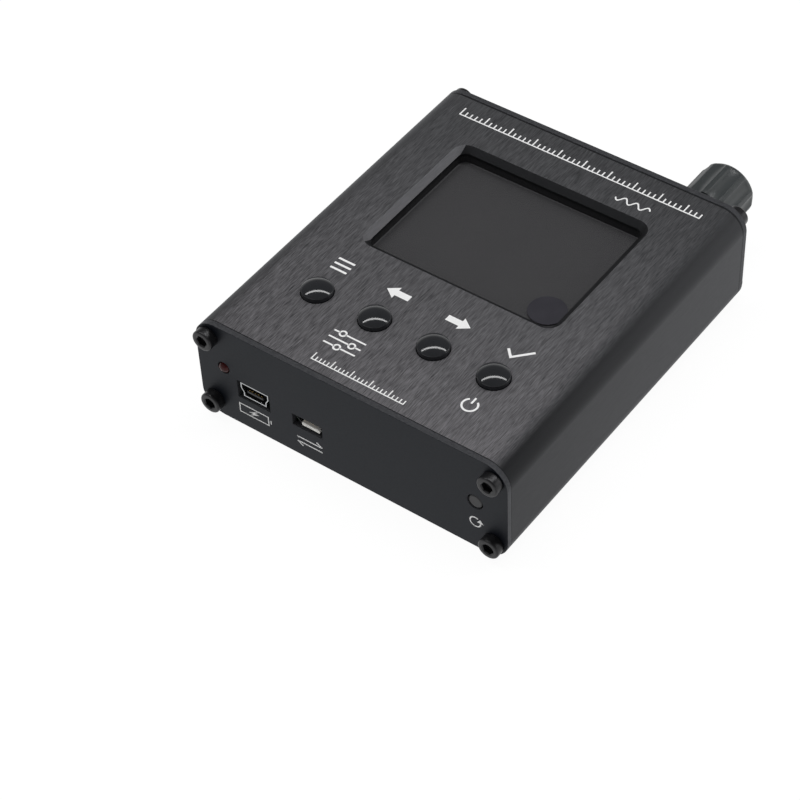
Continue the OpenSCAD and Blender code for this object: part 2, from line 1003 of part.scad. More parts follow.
flange_y = rear_y - plate_t - jack_flange_t;
jack_back_y = flange_y - jack_body_l;
ferrule_y = jack_back_y - ferrule_l;
core_y = jack_back_y + 1.5;

module rf_jack_body() {
    end_y = rear_y + jack_reach;
    neck_end = rear_y + jack_neck_l;
    color("#c8a860")
        difference() {
            union() {
                rod_y(jack_x, ferrule_y, jack_z, ferrule_d, ferrule_l + eps);
                rod_y(jack_x, jack_back_y, jack_z, jack_body_d, jack_body_l + eps);
                rod_y(jack_x, flange_y, jack_z, jack_flange_d, jack_flange_t);
                rod_y(jack_x, flange_y, jack_z, jack_neck_d, neck_end - flange_y);
                rod_y(jack_x, flange_y, jack_z, jack_thread_d, end_y - flange_y);
            }
            rod_y(jack_x, rear_y + jack_bore_floor, jack_z, jack_bore_d, jack_reach);
            rod_y(jack_x, core_y, jack_z, insulator_d, end_y - core_y);
            rod_y(jack_x, ferrule_y - eps, jack_z, coax_d + 0.1, core_y - ferrule_y + 2 * eps);
        }
}

module rf_jack_insulator() {
    end_y = rear_y + jack_reach - insulator_recess;
    color("#f2f1ec")
        difference() {
            rod_y(jack_x, core_y, jack_z, insulator_d, end_y - core_y);
            rod_y(jack_x, core_y - eps, jack_z, contact_d, end_y - core_y + 2 * eps);
        }
}

module rf_jack_contact() {
    end_y = rear_y + jack_reach - insulator_recess - contact_recess;
    color("#d6b25c")
        difference() {
            rod_y(jack_x, core_y, jack_z, contact_d, end_y - core_y);
            rod_y(jack_x, end_y - 4, jack_z, contact_bore_d, 4 + eps);
        }
}

module rf_jack_washer() {
    color("#a9acb0")
        difference() {
            rod_y(jack_x, rear_y, jack_z, washer_od, washer_t);
            rod_y(jack_x, rear_y - eps, jack_z, jack_neck_d + 2 * neck_clear,
                  washer_t + 2 * eps);
        }
}

module rf_jack_nut() {
    y = rear_y + washer_t;
    color("#b9bcc0")
        difference() {
            hex_y(jack_x, y, jack_z, nut_af, nut_t);
            rod_y(jack_x, y - eps, jack_z, jack_neck_d + 0.1, nut_t + 2 * eps);
        }
}

coax_plug = [3, 3, 2.2];
coax_plug_y = front_y + can_at + can_size[1] / 2 + 4;

// The thin coaxial lead from the jack's contact down to its plug on the main board
module rf_coax_lead() {
    plug_z = board_top + coax_plug[2] / 2 + 0.05;
    color("#6b4a2a") {
        wire([
            [jack_x, core_y, jack_z],
            [jack_x, ferrule_y, jack_z],
            [jack_x, ferrule_y - 3, jack_z],
            [jack_x, coax_plug_y + 6, (jack_z + plug_z) / 2],
            [jack_x, coax_plug_y + 2.5, plug_z],
            [jack_x, coax_plug_y - coax_plug[1] / 2, plug_z]
        ], coax_d, [1, 0, 0]);
        translate([jack_x - coax_plug[0] / 2, coax_plug_y - coax_plug[1], board_top])
            cube(coax_plug);
    }
}

cap_y = rear_y + cap_gap;

module dust_cap() {
    flute_r = 3.2;
    chamfer = 1.1;
    bore_l = cap_l - cap_end_t;
    bore_d = jack_thread_d + 2 * cap_clear;
    color("#3c4042")
        difference() {
            translate([jack_x, cap_y, jack_z])
                rotate([-90, 0, 0])
                    rotate_extrude($fn = 96)
                        polygon([
                            [0, 0], [cap_d / 2 - 0.4, 0], [cap_d / 2, 0.4],
                            [cap_d / 2, cap_l - chamfer],
                            [cap_d / 2 - chamfer * 0.6, cap_l - chamfer * 0.3],
                            [cap_d / 2 - chamfer * 1.2, cap_l], [0, cap_l]
                        ]);
            rod_y(jack_x, cap_y - eps, jack_z, bore_d, bore_l + eps);
            for (i = [0 : flute_count - 1])
                translate([jack_x, 0, jack_z])
                    rotate([0, (i + 0.5) * 360 / flute_count, 0])
                        rod_y(cap_d / 2 - flute_depth + flute_r, cap_y - eps, 0,
                              2 * flute_r, cap_l - chamfer);
        }
}

module cap_liner() {
    color("#8c2f2a")
        rod_y(jack_x, cap_y + cap_l - cap_end_t - liner_t, jack_z, jack_thread_d - 0.2,
              liner_t);
}

case_tube();
front_plate();
rear_plate();
front_screws();
rear_screws();
window_gasket();
screen_film();
lcd_glass();
lcd_backlight();
lcd_tape();
lcd_ribbon();
key_cap_1();
key_cap_2();
key_cap_3();
key_cap_4();
key_plunger_1();
key_plunger_2();
key_plunger_3();
key_plunger_4();
key_switch_housings();
key_switch_covers();
key_snap_discs();
display_board();
main_board();
board_spacers();
upper_board_screws();
lower_board_screws();
link_socket();
link_header();
link_pins();
processor_chip();
rf_shield_can();
rf_chips();
power_chips();
power_coil();
clock_crystal();
battery_cell();
battery_guard_board();
battery_pad();
battery_leads();
battery_plug();
battery_socket();
mini_usb_shell();
mini_usb_tongue();
mini_usb_contacts();
micro_usb_shell();
micro_usb_tongue();
micro_usb_contacts();
status_led();
led_leads();
reset_plunger();
reset_switch_body();
rf_jack_body();
rf_jack_insulator();
rf_jack_contact();
rf_jack_washer();
rf_jack_nut();
rf_coax_lead();
dust_cap();
cap_liner();
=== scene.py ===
"""Looks of a handheld vector network analyzer: a black anodised case with a recessed display.

Metres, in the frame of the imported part: +X to the right, +Y to the rear, +Z up.
"""

import json
import math

import bmesh
import bpy
from mathutils import Matrix, Vector

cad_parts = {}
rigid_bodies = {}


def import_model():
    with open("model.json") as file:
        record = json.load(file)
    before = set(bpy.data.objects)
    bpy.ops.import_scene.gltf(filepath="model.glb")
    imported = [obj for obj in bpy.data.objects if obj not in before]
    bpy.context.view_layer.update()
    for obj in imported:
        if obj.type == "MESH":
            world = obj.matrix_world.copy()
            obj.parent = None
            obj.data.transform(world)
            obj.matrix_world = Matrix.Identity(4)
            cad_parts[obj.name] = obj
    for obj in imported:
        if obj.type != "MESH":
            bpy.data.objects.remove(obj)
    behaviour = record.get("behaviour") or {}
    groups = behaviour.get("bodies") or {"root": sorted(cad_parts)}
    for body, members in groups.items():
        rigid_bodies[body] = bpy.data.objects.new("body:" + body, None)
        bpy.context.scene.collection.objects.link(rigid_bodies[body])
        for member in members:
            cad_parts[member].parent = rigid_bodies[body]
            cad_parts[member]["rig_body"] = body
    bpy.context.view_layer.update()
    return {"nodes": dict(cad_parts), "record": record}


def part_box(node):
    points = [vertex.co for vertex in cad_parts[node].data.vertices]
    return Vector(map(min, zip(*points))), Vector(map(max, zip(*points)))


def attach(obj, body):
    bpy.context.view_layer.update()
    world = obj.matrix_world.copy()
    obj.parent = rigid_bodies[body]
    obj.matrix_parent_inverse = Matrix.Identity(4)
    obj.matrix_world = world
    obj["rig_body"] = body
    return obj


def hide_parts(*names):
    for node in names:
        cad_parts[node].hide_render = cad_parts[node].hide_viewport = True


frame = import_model()

MM = 0.001
HOUSING = "case"

# Places that the marks and the replaced pieces are measured from
case_low, case_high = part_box("case_tube")
front_low, front_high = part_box("front_plate")
rear_low, rear_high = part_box("rear_plate")
film_low, film_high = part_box("screen_film")
cap_low, cap_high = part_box("dust_cap")
thread_low, thread_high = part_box("rf_jack_body")
front_face = front_low.y
case_top = case_high.z
jack_axis = Vector((cap_low.x + cap_high.x, 0, cap_low.z + cap_high.z)) / 2


# ---------------------------------------------------------------------------
# Node trees
# ---------------------------------------------------------------------------


class Number:
    """A value in a node tree. Sums written on it become Math nodes."""

    def __init__(self, tree, socket):
        self.tree = tree
        self.socket = socket

    def maths(self, operation, *others):
        values = {i: v for i, v in enumerate((self,) + others)}
        return self.tree.add("ShaderNodeMath", values, operation=operation)

    def __add__(self, other):
        return self.maths("ADD", other)

    def __sub__(self, other):
        return self.maths("SUBTRACT", other)

    def __mul__(self, other):
        return self.maths("MULTIPLY", other)

    def __truediv__(self, other):
        return self.maths("DIVIDE", other)

    def __rsub__(self, other):
        return self.tree.add("ShaderNodeMath", {0: other, 1: self}, operation="SUBTRACT")

    def __gt__(self, other):
        return self.maths("GREATER_THAN", other)

    def __lt__(self, other):
        return self.maths("LESS_THAN", other)

    def __pow__(self, other):
        return self.maths("POWER", other)

    def __abs__(self):
        return self.maths("ABSOLUTE")

    def clamped(self):
        return self.maths("MAXIMUM", 0.0).maths("MINIMUM", 1.0)

    __radd__ = __add__
    __rmul__ = __mul__


class Tree:
    """Adds nodes to a material's or a Geometry Nodes' tree."""

    def __init__(self, owner):
        self.owner = owner

    def put(self, socket, value):
        if isinstance(value, Number):
            value = value.socket
        if isinstance(value, bpy.types.NodeSocket):
            self.owner.links.new(value, socket)
        else:
            socket.default_value = value

    def node(self, kind, values=(), **settings):
        made = self.owner.nodes.new(kind)
        for name, value in settings.items():
            setattr(made, name, value)
        for key, value in dict(values).items():
            self.put(made.inputs[key], value)
        return made

    def add(self, kind, values=(), out=0, **settings):
        return Number(self, self.node(kind, values, **settings).outputs[out])

    def seen_ray(self):
        """1 for a ray that shows the background: straight on, mirrored or through glass."""
        rays = self.node("ShaderNodeLightPath")
        kinds = ("Is Camera Ray", "Is Glossy Ray", "Is Transmission Ray")
        camera, glossy, through = (Number(self, rays.outputs[kind]) for kind in kinds)
        return (camera + glossy + through).clamped()


class Finish(Tree):
    """One material: its tree, its Principled shader and the coordinates that patterns read."""

    def __init__(self, name):
        self.material = bpy.data.materials.new(name)
        self.material.use_nodes = True
        super().__init__(self.material.node_tree)
        self.shader = self.owner.nodes["Principled BSDF"]
        self.place = self.add("ShaderNodeTexCoord", out="Object")
        apart = self.node("ShaderNodeSeparateXYZ", {0: self.place})
        self.x, self.y, self.z = (Number(self, s) for s in apart.outputs)

    def set(self, **values):
        for name, value in values.items():
            self.put(self.shader.inputs[name.replace("_", " ")], value)
        return self

    def noise(self, scale, stretch=(1, 1, 1), detail=3.0, roughness=0.55):
        at = self.add("ShaderNodeMapping", {"Vector": self.place, "Scale": stretch})
        values = {"Vector": at, "Scale": scale, "Detail": detail, "Roughness": roughness}
        return self.add("ShaderNodeTexNoise", values)

    def between(self, factor, low, high):
        """A number that goes from low to high as factor goes from 0 to 1."""
        return factor * (high - low) + low

    def blend(self, factor, first, second):
        """A colour that goes from first to second as factor goes from 0 to 1."""
        made = self.node("ShaderNodeMix", {0: factor}, data_type="RGBA")
        for socket, shade in ((made.inputs[6], first), (made.inputs[7], second)):
            self.put(socket, (*shade, 1) if isinstance(shade, tuple) else shade)
        return Number(self, made.outputs[2])

    def bump(self, height, distance, strength=1.0):
        values = {"Height": height, "Distance": distance, "Strength": strength}
        return self.add("ShaderNodeBump", values)


# ---------------------------------------------------------------------------
# Finishes
# ---------------------------------------------------------------------------

# The case's brushed top, its rounded corners, and the painted shade of the seams at its two ends
TOP_BAND = 0.3 * MM
CORNER = 5.8 * MM
PAINTED_SHADE_BAND = 0.16 * MM
REAR_PAINTED_SHADE_BAND = 0.45 * MM
# The window cut by milling, whose bevel and walls carry painted light and shade: how far out the bevel
# reaches, where it starts, and how far down it goes
BEVEL_REACH = 2.2 * MM
BEVEL_TOP = 0.02 * MM
BEVEL_DROP = 1.32 * MM
# The sawn rim of an end plate, and the bright mouth of a socket's shell
PLATE_EDGE = 0.05 * MM
SOCKET_RIM = 0.25 * MM


def brushed_anodising():
    """Black anodising: brushed along the top, smooth on the other sides, with painted light: the top
    lighter at its front, the sides lighter at their rear.
    """
    f = Finish("brushed_anodising")
    hair = f.noise(1.0, (6400, 400, 6400), detail=2, roughness=0.6)
    streak = f.noise(1.0, (1900, 100, 1900), detail=3, roughness=0.6)
    cloud = f.noise(38, detail=2)
    back = ((f.y - front_face) / (case_high.y - front_face)).clamped()
    right = (f.x / case_high.x * 0.5 + 0.5).clamped()
    # The brushing runs a little way over the long rounded corners
    edge = ((abs(f.x) - (case_high.x - CORNER)) * (1 / CORNER)).clamped()
    over = (edge > 0) * (f.z > case_top - CORNER * 0.6)
    top = ((f.z > case_top - TOP_BAND) + over).clamped() * (1 - edge * 1.7).clamped()
    # Painted light: the top is lighter at its front, and towards the right lighter still at the front
    # and a little darker at the rear; the smooth sides are painted darker at the front and lighter at
    # the rear.
    brushed = f.between(back, 0.092, 0.056) + right * f.between(back, 0.034, -0.010)
    brushed = brushed + (hair - 0.5) * f.between(back, 0.32, 0.12) + (streak - 0.5) * 0.035
    smooth = f.between(back, 0.002, 0.030) + (hair - 0.5) * 0.012 + (cloud - 0.5) * 0.006
    level = top * brushed + (1 - top) * smooth
    # The window's bevel and walls, cut by milling: the left bevel is the one that catches the light, so
    # it gets a painted highlight, and the other bevels and the walls get painted shade
    inside = (abs(f.x) < film_high.x + BEVEL_REACH) * (f.y > film_low.y - BEVEL_REACH)
    inside = inside * (f.y < film_high.y + BEVEL_REACH) * (f.z < case_top - BEVEL_TOP)
    inside = inside * (f.z > film_low.z - CORNER)
    lit = (f.x < film_low.x - BEVEL_REACH * 0.1) * (f.z > case_top - BEVEL_DROP)
    painted_bevel_light_and_shade = lit * (hair * 0.08 + 0.07) + 0.004
    level = level + inside * (painted_bevel_light_and_shade - level)
    # Painted shade: the tube's sawn ends are darkened where they meet the seam against each end plate
    front_seam_shade = f.y < case_low.y + PAINTED_SHADE_BAND
    rear_seam_shade = f.y > case_high.y - REAR_PAINTED_SHADE_BAND
    level = level * (1 - (front_seam_shade + rear_seam_shade) * 0.9)
    tint = f.blend(back, (1.0, 0.965, 1.02), (0.97, 0.98, 1.03))
    shade = f.add("ShaderNodeVectorMath", {0: tint, 3: level}, operation="SCALE")
    f.set(Base_Color=shade, Metallic=0.2, Roughness=f.between(hair, 0.40, 0.58))
    f.set(Specular_IOR_Level=0.29, Specular_Tint=(0.90, 0.93, 1.0, 1))
    return f.set(Normal=f.bump(hair, 0.000012, 0.4)).material


def satin_anodising():
    """Smooth black anodising on both end plates, with a rougher, greyer sawn edge."""
    f = Finish("satin_anodising")
    fine = f.noise(2600, detail=2)
    cloud = f.noise(45, detail=2)
    speckle = f.noise(1.0, (1500, 5000, 1500), detail=3, roughness=0.7)
    half = (front_high.y - front_low.y) / 2 - PLATE_EDGE
    front = abs(f.y - (front_low.y + front_high.y) / 2) < half
    rear = abs(f.y - (rear_low.y + rear_high.y) / 2) < half
    rim = (front + rear) * speckle * 0.9
    face = f.blend(cloud, (0.0018, 0.0026, 0.0048), (0.0030, 0.0038, 0.0065))
    shade = f.blend(rim.clamped(), face, (0.095, 0.095, 0.100))
    f.set(Base_Color=shade, Metallic=0.1, Roughness=f.between(fine, 0.44, 0.54))
    f.set(Specular_IOR_Level=0.2, Specular_Tint=(0.86, 0.92, 1.0, 1))
    return f.set(Normal=f.bump(fine, 0.000004, 0.3)).material


def black_oxide():
    f = Finish("black_oxide")
    fine = f.noise(1800, detail=3)
    shade = f.blend(fine, (0.008, 0.008, 0.009), (0.022, 0.022, 0.024))
    f.set(Base_Color=shade, Metallic=0.5, Roughness=f.between(fine, 0.24, 0.40))
    return f.set(Normal=f.bump(fine, 0.000006, 0.3)).material


def polished_black():
    """The keys' hard gloss, with the faint waviness of a moulded cap."""
    f = Finish("polished_black")
    wave = f.noise(260, detail=1)
    f.set(Base_Color=f.blend(wave, (0.011, 0.012, 0.014), (0.017, 0.018, 0.021)))
    f.set(Roughness=f.between(wave, 0.07, 0.11), Specular_IOR_Level=0.5)
    return f.set(Normal=f.bump(wave, 0.000004, 0.2)).material


def switched_off_glass():
    f = Finish("switched_off_glass")
    cloud = f.noise(45, detail=2)
    dust = f.noise(2400, detail=1) > 0.74
    shade = f.blend(cloud, (0.085, 0.085, 0.089), (0.091, 0.091, 0.094))
    f.set(Base_Color=f.blend(dust * 0.35, shade, (0.10, 0.10, 0.10)))
    return f.set(Roughness=f.between(cloud, 0.34, 0.40)).material


def clear_film():
    """The protective film: a faint unevenness over the glass, which is seen through it."""
    f = Finish("clear_film")
    cloud = f.noise(70, detail=2)
    shade = f.blend(cloud, (0.084, 0.083, 0.088), (0.092, 0.091, 0.096))
    return f.set(Base_Color=shade, Roughness=f.between(cloud, 0.40, 0.48), Alpha=0.4).material


def tab_film():
    """The film's pull tab: thicker, with a dark violet cast."""
    f = Finish("tab_film")
    cloud = f.noise(300, detail=2)
    shade = f.blend(cloud, (0.0200, 0.0190, 0.0270), (0.0290, 0.0275, 0.0370))
    return f.set(Base_Color=shade, Roughness=f.between(cloud, 0.34, 0.42), Alpha=0.9).material


def socket_shell():
    """Nickel-plated socket shells: bright at the mouth, dark where no light gets in."""
    f = Finish("socket_shell")
    fine = f.noise(900, detail=2)
    mouth = f.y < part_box("mini_usb_shell")[0].y + SOCKET_RIM
    # Painted shade: the nickel inside the shell, behind its bright mouth, is painted near black where
    # no light gets in
    painted_inner_shade = f.blend(fine, (0.012, 0.012, 0.013), (0.022, 0.022, 0.024))
    f.set(Base_Color=f.blend(mouth, painted_inner_shade, (0.46, 0.47, 0.48)))
    return f.set(Metallic=f.between(mouth, 0.2, 1.0), Roughness=f.between(fine, 0.22, 0.34)).material


def plated(name, dull, bright, rough, scale=900):
    """Plated or turned metal: light mottling in its colour and its gloss."""
    f = Finish(name)
    fine = f.noise(scale, detail=3)
    cloud = f.noise(scale / 8, detail=2)
    f.set(Base_Color=f.blend(cloud, dull, bright), Metallic=1.0)
    f.set(Roughness=f.between(fine, rough - 0.07, rough + 0.07))
    return f.set(Normal=f.bump(fine, 0.000004, 0.3)).material


def moulded(name, dark, light, rough, grain=0.00001, scale=1400):
    """Moulded plastic: a fine spark-eroded grain and slightly uneven colour."""
    f = Finish(name)
    fine = f.noise(scale, detail=3)
    cloud = f.noise(scale / 12, detail=2)
    f.set(Base_Color=f.blend(cloud, dark, light))
    f.set(Roughness=f.between(fine, rough - 0.06, rough + 0.06), Specular_IOR_Level=0.4)
    return f.set(Normal=f.bump(fine, grain, 0.4)).material


def solder_masked_board():
    """Green mask over a grid of copper tracks, with bare tinned pads in rows."""
    f = Finish("solder_masked_board")
    track = f.noise(1.0, (900, 120, 900), detail=0)
    across = f.noise(1.0, (120, 900, 900), detail=0)
    copper = (abs(track - 0.5) < 0.02) + (abs(across - 0.5) < 0.02)
    cells = f.add("ShaderNodeTexVoronoi", {"Vector": f.place, "Scale": 420, "Randomness": 0.25})
    pads = cells < 0.16
    mask = f.blend(copper.clamped(), (0.012, 0.085, 0.036), (0.022, 0.150, 0.060))
    f.set(Base_Color=f.blend(pads, mask, (0.62, 0.60, 0.54)))
    f.set(Metallic=pads, Roughness=f.between(pads, 0.38, 0.30))
    return f.set(Normal=f.bump(copper.clamped(), 0.00003, 0.5)).material


def pouch_foil():
    f = Finish("pouch_foil")
    crease = f.noise(160, detail=4, roughness=0.7)
    shade = f.blend(crease, (0.50, 0.51, 0.53), (0.66, 0.67, 0.69))
    f.set(Base_Color=shade, Metallic=0.85, Roughness=f.between(crease, 0.28, 0.46))
    return f.set(Normal=f.bump(crease, 0.0001, 0.5)).material


def closed_foam():
    f = Finish("closed_foam")
    cells = f.add("ShaderNodeTexVoronoi", {"Vector": f.place, "Scale": 2600})
    f.set(Base_Color=f.blend(cells, (0.010, 0.010, 0.012), (0.004, 0.004, 0.005)))
    f.set(Roughness=f.between(cells, 0.8, 0.95))
    return f.set(Normal=f.bump(cells, 0.00005, 0.6)).material


def printed_white():
    """Screen-printed ink: slightly uneven cover, matte."""
    f = Finish("printed_white")
    fine = f.noise(2400, detail=2)
    f.set(Base_Color=f.blend(fine, (0.80, 0.80, 0.80), (0.92, 0.92, 0.92)))
    return f.set(Roughness=f.between(fine, 0.5, 0.65)).material


def lamp_lens():
    f = Finish("lamp_lens")
    cloud = f.noise(500, detail=1)
    f.set(Base_Color=f.blend(cloud, (0.030, 0.001, 0.001), (0.052, 0.001, 0.001)))
    return f.set(Roughness=f.between(cloud, 0.14, 0.22), Specular_IOR_Level=0.2).material


def insulated_lead():
    """The two battery leads: one red, one black."""
    low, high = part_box("battery_leads")
    f = Finish("insulated_lead")
    side = f.y > (low.y + high.y) / 2
    fine = f.noise(1500, detail=2)
    f.set(Base_Color=f.blend(side, (0.012, 0.012, 0.012), (0.45, 0.020, 0.015)))
    return f.set(Roughness=f.between(fine, 0.38, 0.5)).material


# The record's material slots, and the finish that each one takes
finishes = {
    "case_anodised": brushed_anodising(),
    "plate_anodised": satin_anodising(),
    "black_steel": black_oxide(),
    "foam_black": closed_foam(),
    "film_tinted": clear_film(),
    "screen_glass": switched_off_glass(),
    "white_plastic": moulded("white_nylon", (0.84, 0.83, 0.79), (0.90, 0.89, 0.86), 0.42),
    "tape_cream": moulded("paper_tape", (0.62, 0.57, 0.42), (0.72, 0.67, 0.52), 0.75),
    "ribbon_amber": moulded("amber_ribbon", (0.42, 0.16, 0.02), (0.55, 0.22, 0.04), 0.3),
    "dark_plastic": moulded("black_nylon", (0.010, 0.010, 0.011), (0.018, 0.018, 0.020), 0.45),
    "tin_plate": plated("tin_plate", (0.50, 0.51, 0.52), (0.64, 0.65, 0.66), 0.32),
    "contact_gold": plated("contact_gold", (0.66, 0.44, 0.13), (0.80, 0.56, 0.20), 0.25),
    "board_green": solder_masked_board(),
    "spacer_brass": plated("turned_brass", (0.55, 0.38, 0.12), (0.68, 0.48, 0.17), 0.28),
    "zinc_steel": plated("zinc_plate", (0.42, 0.43, 0.45), (0.56, 0.57, 0.60), 0.33),
    "chip_black": moulded("chip_epoxy", (0.013, 0.013, 0.014), (0.022, 0.022, 0.024), 0.6),
    "coil_grey": moulded("ferrite", (0.030, 0.030, 0.032), (0.050, 0.050, 0.053), 0.5),
    "pouch_foil": pouch_foil(),
    "tape_amber": moulded("amber_tape", (0.50, 0.28, 0.015), (0.62, 0.36, 0.03), 0.3),
    "lead_red": insulated_lead(),
    "socket_steel": socket_shell(),
    "lamp_red": lamp_lens(),
    "jack_nickel": plated("nickel_plate", (0.13, 0.13, 0.13), (0.20, 0.20, 0.195), 0.34),
    "coax_brown": moulded("coax_jacket", (0.10, 0.045, 0.018), (0.15, 0.07, 0.03), 0.4),
    "cap_plastic": moulded("cap_vinyl", (0.032, 0.037, 0.038), (0.042, 0.047, 0.049), 0.36),
    "liner_rubber": moulded("liner_rubber", (0.20, 0.03, 0.025), (0.28, 0.045, 0.035), 0.7),
    "key_gloss": polished_black(),
    "stem_grey": moulded("stem_nylon", (0.014, 0.015, 0.017), (0.022, 0.023, 0.026), 0.45),
    "print_white": printed_white(),
}

slot_of = {s["node"]: s["material_slot"] for s in frame["record"]["subparts"]}


def coat(obj, material):
    obj.data.materials.clear()
    obj.data.materials.append(material)
    for face in obj.data.polygons:
        face.material_index = 0


for name, obj in frame["nodes"].items():
    coat(obj, finishes[slot_of[name]])


# ---------------------------------------------------------------------------
# Making pieces
# ---------------------------------------------------------------------------


def smooth_by_angle(mesh, degrees):
    mesh.polygons.foreach_set("use_smooth", [True] * len(mesh.polygons))
    mesh.set_sharp_from_angle(angle=math.radians(degrees))


def body_named(node):
    return frame["nodes"][node]["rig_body"]


def piece(name, mesh, body, slot, material=None, stands_for=()):
    """Adds a finished mesh to the scene, on its body, in its slot's finish."""
    obj = bpy.data.objects.new(name, mesh)
    bpy.context.scene.collection.objects.link(obj)
    coat(obj, material or finishes[slot])
    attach(obj, body)
    if stands_for:
        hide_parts(*stands_for)
    return obj


def applied(obj):
    """The object's mesh with its modifiers worked in."""
    bpy.context.view_layer.update()
    seen = obj.evaluated_get(bpy.context.evaluated_depsgraph_get())
    return bpy.data.meshes.new_from_object(seen)


def merged_copy(node):
    """A node's mesh with its loose triangles joined and its flat faces cleared of edges."""
    work = bmesh.new()
    work.from_mesh(frame["nodes"][node].data)
    bmesh.ops.remove_doubles(work, verts=work.verts, dist=0.001 * MM)
    bmesh.ops.dissolve_limit(
        work, angle_limit=math.radians(0.6), verts=work.verts, edges=work.edges
    )
    mesh = bpy.data.meshes.new(node + "_dressed")
    work.to_mesh(mesh)
    work.free()
    return mesh


def dress(node, edge, segments=2, sharp=32):
    """Shows a node with its sharp edges rounded to the radius edge."""
    obj = bpy.data.objects.new("edging", merged_copy(node))
    bpy.context.scene.collection.objects.link(obj)
    bevel = obj.modifiers.new("edges", "BEVEL")
    bevel.width = edge
    bevel.segments = segments
    bevel.limit_method = "ANGLE"
    bevel.angle_limit = math.radians(sharp)
    bevel.use_clamp_overlap = True
    rounded = applied(obj)
    smooth_by_angle(rounded, 40)
    # Normals weighted by face area keep the large flat faces flat beside their rounded edges
    obj.modifiers.clear()
    obj.data = rounded
    weighted = obj.modifiers.new("weighted", "WEIGHTED_NORMAL")
    weighted.keep_sharp = True
    mesh = applied(obj)
    bpy.data.objects.remove(obj)
    return piece(node + "_edged", mesh, body_named(node), slot_of[node], stands_for=[node])


def turned(profile, steps, place, shape=None):
    """A lathe shape about +Z.

    The profile's rows are (radius, height), or (radius, height, share) where the function
    shape(angle, radius, share) gives the radius at an angle.
    """
    work = bmesh.new()
    rings = []
    for radius, height, *share in profile:
        if radius == 0:
            rings.append([work.verts.new((0, 0, height))])
            continue
        ring = []
        for i in range(steps):
            angle = 2 * math.pi * i / steps
            reach = shape(angle, radius, share[0]) if share else radius
            ring.append(work.verts.new((reach * math.cos(angle), reach * math.sin(angle), height)))
        rings.append(ring)
    for low, high in zip(rings, rings[1:]):
        for i in range(steps):
            j = (i + 1) % steps
            corners = [low[i % len(low)], low[j % len(low)], high[j % len(high)], high[i % len(high)]]
            corners = list(dict.fromkeys(corners))
            work.faces.new(corners)
    bmesh.ops.remove_doubles(work, verts=work.verts, dist=0.0001 * MM)
    work.transform(place)
    bmesh.ops.recalc_face_normals(work, faces=work.faces)
    mesh = bpy.data.meshes.new("turned")
    work.to_mesh(mesh)
    work.free()
    return mesh


def along_y(x, y, z):
    """Lays a lathe shape's +Z along +Y, with its foot at the place given."""
    return Matrix.Translation((x, y, z)) @ Matrix.Rotation(-math.pi / 2, 4, "X")


def arc(centre, radius, start, end, count):
    """Points on an arc, angles in degrees."""
    angles = (math.radians(start + (end - start) * i / count) for i in range(count + 1))
    return [(centre[0] + radius * math.cos(a), centre[1] + radius * math.sin(a)) for a in angles]


# ---------------------------------------------------------------------------
# Keys: straight side, soft shoulder, low dome
# ---------------------------------------------------------------------------

KEY_RADIUS = 3.65 * MM
KEY_DOME = 1.2 * MM
KEY_SHOULDER = 0.3 * MM
KEY_FLANGE = 0.6 * MM


def key_cap(number):
    node = f"key_cap_{number}"
    low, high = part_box(node)
    centre = (low + high) / 2
    flange_r = (high.x - low.x) / 2
    # The shoulder's arc touches both the straight side and the dome's sphere
    dome_r = (KEY_RADIUS**2 + KEY_DOME**2) / (2 * KEY_DOME)
    dome_z = high.z - dome_r
    inset = KEY_RADIUS - KEY_SHOULDER
    lift = math.sqrt((dome_r - KEY_SHOULDER) ** 2 - inset**2)
    start = math.degrees(math.atan2(lift, inset))
    shoulder = arc((inset, dome_z + lift), KEY_SHOULDER, 0, start, 6)
    dome = arc((0, dome_z), dome_r, start, 90, 16)
    profile = [(0, low.z), (flange_r, low.z), (flange_r, low.z + KEY_FLANGE)]
    profile += [(KEY_RADIUS, low.z + KEY_FLANGE)] + shoulder[:-1] + dome[:-1] + [(0, high.z)]
    mesh = turned(profile, 64, Matrix.Translation((centre.x, centre.y, 0)))
    smooth_by_angle(mesh, 40)
    return piece(node + "_domed", mesh, f"key_{number}", "key_gloss", stands_for=[node])


for number in range(1, 5):
    key_cap(number)


# ---------------------------------------------------------------------------
# Edges of the metal parts
# ---------------------------------------------------------------------------

dress("case_tube", 0.12 * MM)
dress("front_plate", 0.14 * MM)
dress("rear_plate", 0.14 * MM)
dress("mini_usb_shell", 0.05 * MM)
dress("micro_usb_shell", 0.05 * MM)
dress("status_led", 0.4 * MM, segments=3)
dress("reset_plunger", 0.45 * MM, segments=3)
dress("rf_jack_nut", 0.25 * MM)
dress("rf_jack_washer", 0.1 * MM)


# ---------------------------------------------------------------------------
# Dust cap: a drum with broad concave flutes that run out before its rounded end
# ---------------------------------------------------------------------------

CAP_WALL = 1.42 * MM
CAP_END = 1.4 * MM
CAP_SHOULDER = 1.6 * MM
CAP_FLUTES = 10
CAP_FLUTE_DEPTH = 0.6 * MM
CAP_FLUTE_SCOOP = 3.6 * MM
CAP_LIP = 0.35 * MM


def fluted(angle, radius, share):
    """A radius with its share of the flute at that angle cut away."""
    outer = (cap_high.x - cap_low.x) / 2
    pitch = 2 * math.pi / CAP_FLUTES
    off = (angle + pitch / 2) % pitch - pitch / 2
    centre = outer - CAP_FLUTE_DEPTH + CAP_FLUTE_SCOOP
    reach = CAP_FLUTE_SCOOP**2 - (centre * math.sin(off)) ** 2
    if reach <= 0:
        return radius
    depth = outer - (centre * math.cos(off) - math.sqrt(reach))
    return radius - max(0, depth) * share


